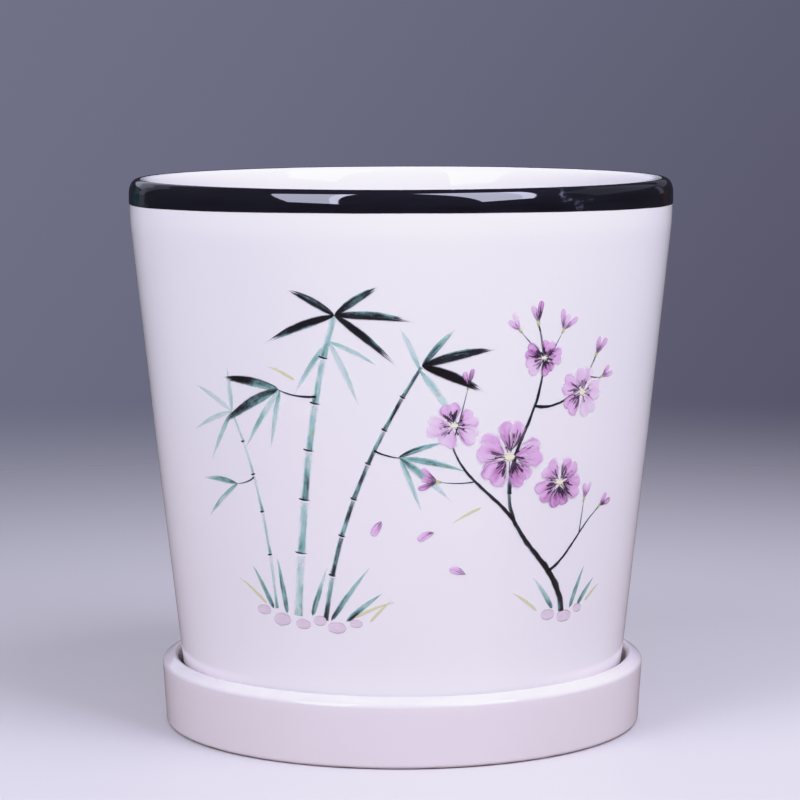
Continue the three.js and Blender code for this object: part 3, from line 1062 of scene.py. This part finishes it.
# Canes, from the stoutest to the thinnest, then their leaves
stout_cane = [(-27, 37), (-25, 66), (-24, 90), (-16.5, 115)]
dark_cane = [(-19.5, 36.5), (-17, 60), (-8, 82), (5, 102)]
thin_cane = [(-33, 38.5), (-35, 60), (-39, 76), (-46, 89)]
cane(wash, stout_cane, 3.2, 6, 0.30)
cane(wash, dark_cane, 1.9, 7, 0.62)
cane(wash, thin_cane, 1.4, 5, 0.22)
spray(wash, -18, 108, [(-62, 16), (232, 15), (-20, 13)], 0.24)
spray(ink, -16.5, 114.5, [(38, 15), (2, 20), (-34, 19), (148, 15), (196, 20)], 1.0, -0.35)
side_twig([on_route(stout_cane, 0.72), (-27.5, 93.5), (-32, 95.6)], 0.75)
spray(wash, -31.2, 95.4, [(232, 17), (258, 14)], 0.30)
spray(ink, -31.6, 95.6, [(168, 19), (204, 20)], 0.62, 0.4)
spray(wash, 4.5, 101, [(-52, 16), (112, 13)], 0.30)
spray(ink, 5, 102, [(52, 14), (18, 20), (-18, 18)], 0.98, -0.3)
side_twig([on_route(dark_cane, 0.66), (-4.5, 79.5), (-0.2, 79)], 0.65)
spray(wash, -0.5, 79, [(-6, 17), (-36, 16), (-66, 13)], 0.28)
spray(ink, -0.8, 79.2, [(24, 13)], 0.8, -0.3)
spray(wash, -46, 89, [(96, 13), (150, 15), (196, 15), (236, 14)], 0.22)
side_twig([on_route(thin_cane, 0.62), (-41, 71), (-45, 70.5)], 0.55, 0.7)
spray(wash, -44.7, 70.5, [(172, 13), (216, 14)], 0.48, -0.3)

# Blossom branch with its side branches, then the flowers and buds on them
trunk = [(44, 37), (43, 52), (24, 56), (28, 74)]
upper_branch = [on_route(trunk, 0.9), (28, 86), (41, 92), (35.5, 111)]
left_branch = [on_route(trunk, 0.7), (24, 70), (14, 72), (11.5, 86)]
right_branch = [on_route(upper_branch, 0.55), (38, 90), (47, 90), (54, 102)]
low_branch = [on_route(trunk, 0.3), (45, 50), (50, 59), (57, 62.5)]
for route, width in ((trunk, 2.3), (upper_branch, 1.4), (left_branch, 1.2), (right_branch, 1.0),
                     (low_branch, 1.0)):
    ink.stroke(route, width, twig, (1.0, 0.85), rows=40, rough=0.4, dry=0.35)
bud_on(upper_branch, 0.98, 35.3, 112.2, 96, 5.4)
bud_on(upper_branch, 0.80, 43.0, 110.0, 62, 5.0)
bud_on(upper_branch, 0.86, 30.0, 110.5, 128, 4.6)
bud_on(right_branch, 0.97, 54.6, 103.0, 58, 5.4)
bud_on(right_branch, 0.86, 57.0, 97.0, 24, 4.6)
bud_on(low_branch, 0.97, 58.0, 63.2, 30, 5.0)
bud_on(low_branch, 0.62, 51.5, 66.0, 74, 4.6)
bud_on(left_branch, 0.55, 8.6, 73.0, 170, 4.8)
bud_on(left_branch, 0.9, 16.5, 97.0, 88, 4.4)
blossom(13.0, 87.0, 7.2, 33, 0.8, 0.35)
blossom(42.5, 71.0, 8.0, 60, 0.86, 0.75)
blossom(27.5, 78.5, 9.2, 14, 1.0, 0.45)
blossom(49.5, 93.5, 7.4, 80, 0.9, 0.3)
blossom(37.0, 103.0, 6.0, 5, 0.75, 0.6)
for x, z, degrees in ((8, 60, 205), (16, 49, 160), (-5, 63, 240)):
    start = Vector((x, z))
    tip = start + heading(degrees) * 4.6
    petals.stroke([start, (start + tip) / 2 + Vector((0, 0.8)), tip], 2.4, PETAL, (0.3, 0.5),
                  rows=12, columns=8, rough=0.2)

# Ground
for x, z, wide, tall in ((-37, 38.2, 4.4, 3.0), (-31.5, 36.4, 5.2, 3.8), (-25.5, 35.4, 4.2, 3.0),
                         (-21.0, 36.6, 3.6, 3.0), (-16.5, 35.2, 5.0, 3.4), (-11.5, 36.4, 3.4, 2.4),
                         (39.5, 36.6, 4.6, 3.2), (45.0, 35.4, 5.2, 3.6), (50.0, 37.0, 3.4, 2.6)):
    middle = (x, z + draw.uniform(-0.4, 0.6))
    stones.stroke([(x - wide / 2, z), middle, (x + wide / 2, z)], tall, ROUND, (0.2, 0.35),
                  rows=14, columns=8)
for x, z, degrees, length in ((-34, 39, 118, 14), (-30, 38, 100, 17), (-23, 38, 74, 15), (-18, 37, 58, 19),
                              (-14, 37, 44, 13), (41, 38, 122, 12), (47, 37.5, 66, 13), (50, 38, 48, 10)):
    start, way = Vector((x, z)), heading(degrees)
    tip = start + way * length + Vector((0, -0.10 * length))
    wash.stroke([start, start + way * length * 0.55, tip], 1.8, BLADE, (0.62, 0.10), rows=20)
for x, z, degrees, length in ((-36, 40, 140, 12), (-12, 38, 30, 12), (-8, 37, 52, 9), (36, 38, 138, 10),
                              (53, 38.5, 38, 8), (-27, 98, 150, 9), (20, 66, 200, 8)):
    start, way = Vector((x, z)), heading(degrees)
    tip = start + way * length + Vector((0, -0.14 * length))
    sprouts.stroke([start, start + way * length * 0.6, tip], 0.9, BLADE, (0.3, 0.1), rows=18, columns=4)

wash.finish("painted_bamboo_wash", leaf_paint("leaf_wash", dry=0.35, feather=0.30))
ink.finish("painted_ink_leaves", leaf_paint("leaf_ink", dry=0.75, feather=0.18))
petals.finish("painted_petals", petal_paint("petal_lilac"))
for sheet, name, paint, pale, deep, feather, strength in (
        (hearts, "painted_flower_hearts", "heart_yellow", (246, 242, 206), (230, 214, 140), 0.4, 0.95),
        (stamens, "painted_stamens", "stamen_violet", (86, 60, 98), (50, 36, 60), 0.3, 0.9),
        (stones, "painted_pebbles", "pebble_pink", (246, 228, 234), (176, 160, 168), 0.18, 0.9),
        (sprouts, "painted_sprouts", "sprout_green", (236, 234, 170), (176, 190, 112), 0.3, 0.75)):
    sheet.finish(name, plain_paint(paint, srgb(*pale), srgb(*deep), feather, strength))

# Camera at the photograph's viewing angle
CAMERA_PLACE = Vector((-0.158, -806.05, 181.37)) * MM
CAMERA_PITCH = math.radians(6.775)
CAMERA_ROLL = math.radians(0.153)
CAMERA_SENSOR = 36.0
CAMERA_LENS = 136.58
camera_data = bpy.data.cameras.new("camera")
camera_data.sensor_width = CAMERA_SENSOR
camera_data.lens = CAMERA_LENS
camera = bpy.data.objects.new("camera", camera_data)
camera.location = CAMERA_PLACE
camera.rotation_mode = "XYZ"
camera.rotation_euler = (math.radians(90) - CAMERA_PITCH, CAMERA_ROLL, 0.0)
bpy.context.scene.collection.objects.link(camera)
bpy.context.scene.camera = camera

# Studio: a pale floor that fades into a plain backdrop, two softboxes in front, a weak fill from each
# side and dim panels behind
FLOOR_FADE = 0.13                # radius where the floor starts to fade, in metres
FLOOR_END = 0.75
FLOOR_SIZE = 0.8
FLOOR_HOLE = 0.062               # its edge is hidden under the saucer's foot ring
FLOOR_FACETS = 96
FLOOR_ROUGHNESS = 0.55
FLOOR_COLOR = srgb(196, 191, 191)
FLOOR_BOUNCE = srgb(130, 110, 108)  # what it throws back on the pot, which is less than it shows
SOFTBOX_COLOR = (0.93, 0.935, 1.2)
SOFTBOX_STRIP_GAP = 0.005        # the brighter strip hangs this far in front of its softbox
POT_MIDDLE = Vector((0.0, 0.0, 0.1))
LIGHT_DISTANCE = 1.5             # of fills and panels, which face the pot
FILL_ELEVATION = 15
FILL_SIZE = (1.1, 1.1)
FILL_COLOR = (0.98, 1.02, 1.03)
PANEL_COLOR = (0.9, 0.94, 1.15)
BACKDROP_DARK = srgb(80, 78, 99)
BACKDROP_PALE = srgb(113, 114, 136)
SURROUND_LIGHT = srgb(144, 149, 163)
SURROUND_BEHIND = srgb(228, 228, 240)
BEHIND = (0.15, 0.85)            # how far back a direction points where that light starts, and is full
SURROUND_REFLECTED = srgb(46, 46, 56)
TONE_WHITE = 2.4                 # the light that is shown as full white
TONE_CURVE = (                   # light, and the tone that it is shown as
    (0.15, 0.15), (0.4, 0.4), (0.7, 0.70), (0.85, 0.83), (1.0, 0.905), (1.2, 0.95), (1.6, 0.985),
)


def floor():
    """The plain pale surface that the pot stands on. It is clear from below, to show the undersides."""
    bm = bmesh.new()
    bmesh.ops.create_circle(bm, cap_ends=False, segments=FLOOR_FACETS, radius=FLOOR_HOLE)
    grown = bmesh.ops.extrude_edge_only(bm, edges=bm.edges[:])["geom"]
    rim = [item for item in grown if isinstance(item, bmesh.types.BMVert)]
    bmesh.ops.scale(bm, vec=Vector((1, 1, 1)) * (FLOOR_SIZE / FLOOR_HOLE), verts=rim)
    bm.normal_update()
    bmesh.ops.reverse_faces(bm, faces=[face for face in bm.faces if face.normal.z < 0])
    material, tree, shader = new_material("pale_floor")
    seen = add(tree, "ShaderNodeLightPath").outputs["Is Camera Ray"]
    color = mix_color(tree, seen, FLOOR_BOUNCE, FLOOR_COLOR)
    tree.links.new(color, shader.inputs["Base Color"])
    shader.inputs["Roughness"].default_value = FLOOR_ROUGHNESS
    where = object_place(tree)
    distance = add(tree, "ShaderNodeVectorMath", {0: where}, operation="LENGTH").outputs["Value"]
    cover = soft_step(tree, distance, FLOOR_FADE, FLOOR_END, 1.0, 0.0)
    above = minus(tree, 1.0, add(tree, "ShaderNodeNewGeometry").outputs["Backfacing"])
    tree.links.new(times(tree, cover, above), shader.inputs["Alpha"])
    piece_of(bm, "floor", material)


def soft_light(name, place, facing, roll, size, watts, color):
    """A soft rectangular light at a place, with the way it faces."""
    data = bpy.data.lights.new(name, "AREA")
    data.shape = "RECTANGLE"
    data.size, data.size_y = size
    data.energy = watts
    data.color = color
    light = bpy.data.objects.new(name, data)
    light.location = place
    light.rotation_mode = "QUATERNION"
    light.rotation_quaternion = facing.to_track_quat("-Z", "Y") @ Quaternion((0, 0, 1), math.radians(roll))
    bpy.context.scene.collection.objects.link(light)
    return light


def softbox(name, place, facing, roll, size, watts, side, side_watts):
    """A softbox with a brighter strip along one side, which only shows where it is reflected."""
    box = soft_light(name, Vector(place), Vector(facing), roll, size, watts, SOFTBOX_COLOR)
    to_strip = Vector(((size[0] - side) / 2, 0, -SOFTBOX_STRIP_GAP))
    strip_place = box.location + box.rotation_quaternion @ to_strip
    strip = soft_light(
        name + "_side", strip_place, Vector(facing), roll, (side, size[1]), side_watts, SOFTBOX_COLOR)
    strip.visible_diffuse = False


def light_round_pot(name, azimuth, elevation, size, watts, color):
    """A weaker light that faces the pot from a direction, in degrees from the front and up."""
    azimuth, elevation = math.radians(azimuth), math.radians(elevation)
    way = Vector((math.sin(azimuth) * math.cos(elevation), -math.cos(azimuth) * math.cos(elevation),
                  math.sin(elevation)))
    return soft_light(name, POT_MIDDLE + way * LIGHT_DISTANCE, -way, 0, size, watts, color)


def backdrop():
    """A plain grey-blue surround, lighter to the upper left. It gives more light from behind the pot,
    and looks darker in reflections.
    """
    world = bpy.context.scene.world or bpy.data.worlds.new("world")
    bpy.context.scene.world = world
    world.use_nodes = True
    tree = world.node_tree
    direction = add(tree, "ShaderNodeTexCoord").outputs["Generated"]
    way = add(tree, "ShaderNodeSeparateXYZ", {"Vector": direction})
    left = times(tree, way.outputs["X"], -1.6)
    up = times(tree, plus(tree, way.outputs["Z"], 0.12), 1.2)
    share = soft_step(tree, plus(tree, left, up), -0.45, 0.45)
    seen = mix_color(tree, share, BACKDROP_DARK, BACKDROP_PALE)
    rays = add(tree, "ShaderNodeLightPath").outputs
    behind = soft_step(tree, way.outputs["Y"], *BEHIND)
    light = mix_color(tree, behind, SURROUND_LIGHT, SURROUND_BEHIND)
    color = mix_color(tree, rays["Is Glossy Ray"], light, SURROUND_REFLECTED)
    color = mix_color(tree, rays["Is Camera Ray"], color, seen)
    tree.links.new(color, tree.nodes["Background"].inputs["Color"])


def photographic_shoulder():
    """Keeps the tones as they are up to light grey, and lets brighter ones roll off softly to white."""
    view = bpy.context.scene.view_settings
    view.view_transform = "Standard"
    view.use_curve_mapping = True
    mapping = view.curve_mapping
    mapping.white_level = (TONE_WHITE,) * 3
    curve = mapping.curves[3]
    for light, shown in TONE_CURVE:
        curve.points.new(light / TONE_WHITE, shown)
    mapping.update()


floor()

# Both softboxes hang in front and look back and down
softbox("left_softbox", place=(-0.476, -0.530, 0.523), facing=(-0.039, 0.658, -0.752), roll=-20.5,
        size=(0.43, 0.78), watts=6.6, side=0.055, side_watts=0.42)
softbox("right_softbox", place=(0.478, -0.421, 0.625), facing=(0.120, 0.622, -0.774), roll=43.2,
        size=(0.505, 0.84), watts=9.3, side=0.152, side_watts=0.9)
for name, azimuth, watts in (("right_fill", 85, 0.85), ("left_fill", -85, 0.95)):
    light_round_pot(name, azimuth, FILL_ELEVATION, FILL_SIZE, watts, FILL_COLOR).visible_glossy = False

# Dim panels behind the pot, which show as reflections on the dark lip
for name, azimuth, elevation, size, watts in (
        ("left_glow_core", -161.3, 13.3, (0.63, 0.17), 0.081),
        ("left_glow", -155.5, 17.5, (0.8, 0.36), 0.2),
        ("left_glow_edge", -151.4, 21.5, (1.1, 0.55), 0.27),
        ("left_strip", -137.2, 2, (0.18, 0.46), 0.026),
        ("left_strip_head", -137.4, 7.5, (0.18, 0.25), 0.017),
        ("right_strip", 139.5, 9, (0.15, 0.36), 0.027),
        ("right_glow", 157, 14.2, (0.65, 0.24), 0.054),
        ("high_right_glow", 118, 34, (1.6, 0.75), 0.62)):
    light_round_pot(name, azimuth, elevation, size, watts, PANEL_COLOR)
backdrop()
photographic_shoulder()
